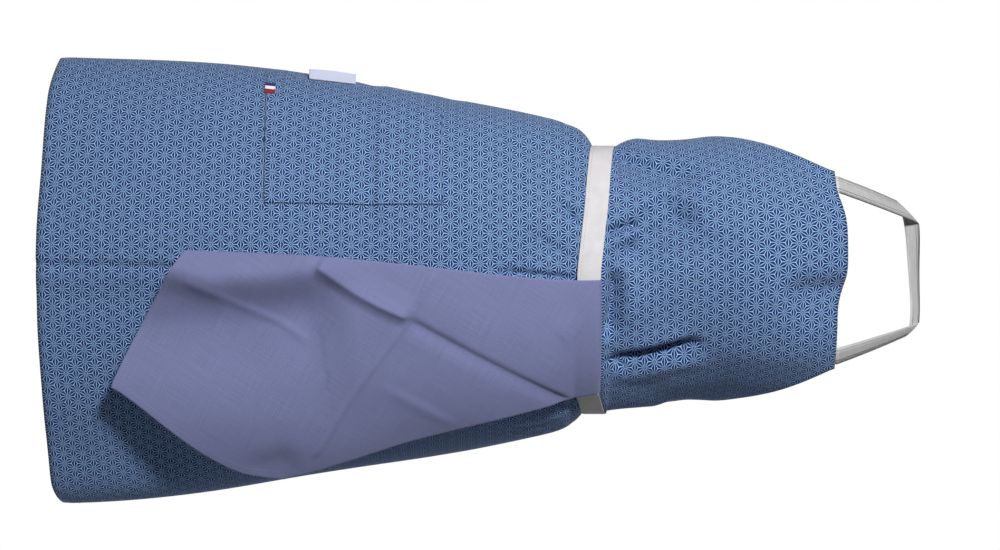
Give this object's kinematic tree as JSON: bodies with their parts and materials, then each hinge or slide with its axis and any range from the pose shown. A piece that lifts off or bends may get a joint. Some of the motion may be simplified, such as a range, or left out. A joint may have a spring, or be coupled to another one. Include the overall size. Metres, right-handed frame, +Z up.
{
  "type": "bib apron",
  "caption": "Worn cotton bib apron with patch pocket, neck strap, crossed waist ties knotted in front and a folded tea towel tucked over the tie; the towel, strap, label and tab move.",
  "frame": {"origin": "middle of the wearer's waist, at the height of the waist tie", "axes": "+Z up, the front of the apron faces -Y, +X is the viewer's right"},
  "size_m": [0.4855, 0.2728, 0.9575],
  "materials": {
    "printed_cotton": "plain-weave cotton printed with a small hemp-leaf lattice in blue and white",
    "ecru_tape": "folded and topstitched ecru cotton",
    "towel_cotton": "ironed plain-weave cotton in a grey mauve blue",
    "label_satin": "woven satin label, left bare",
    "tab_ribbon": "ribbon with three woven stripes"
  },
  "bodies": {
    "apron": {"apron_panel": "printed_cotton", "patch_pocket": "printed_cotton", "waist_tie_left": "ecru_tape", "waist_tie_right": "ecru_tape", "waist_knot": "ecru_tape", "tie_tail_left": "ecru_tape", "tie_tail_right": "ecru_tape", "neck_strap_end_left": "ecru_tape", "neck_strap_end_right": "ecru_tape"},
    "neck_strap": {"neck_strap": "ecru_tape"},
    "towel_tuck": {"towel_tuck": "towel_cotton"},
    "towel_drop": {"towel_drop": "towel_cotton"},
    "woven_label": {"woven_label": "label_satin"},
    "striped_tab": {"striped_tab": "tab_ribbon"}
  },
  "joints": [
    {"name": "neck_strap_lift", "type": "hinge", "parent": "apron", "child": "neck_strap", "pos_m": [-0.009, -0.091, 0.2554], "axis": [1, 0, 0], "range_deg": [0, 130]},
    {"name": "towel_pull", "type": "slide", "parent": "apron", "child": "towel_tuck", "axis": [0.0284, -0.0824, 0.9962], "range_m": [0, 0.1]},
    {"name": "towel_lift", "type": "hinge", "parent": "towel_tuck", "child": "towel_drop", "pos_m": [0.06912, -0.1093, 0.0042], "axis": [-0.9453, -0.3262, 0], "range_deg": [0, 75]},
    {"name": "label_flip", "type": "hinge", "parent": "apron", "child": "woven_label", "pos_m": [-0.2105, -0.04065, -0.284], "axis": [0.1041, 0.1409, 0.9845], "range_deg": [-12, 80]},
    {"name": "tab_flip", "type": "hinge", "parent": "apron", "child": "striped_tab", "pos_m": [-0.20394, -0.07028, -0.343], "axis": [-0.6511, 0.759, 0], "range_deg": [0, 70]}
  ]
}
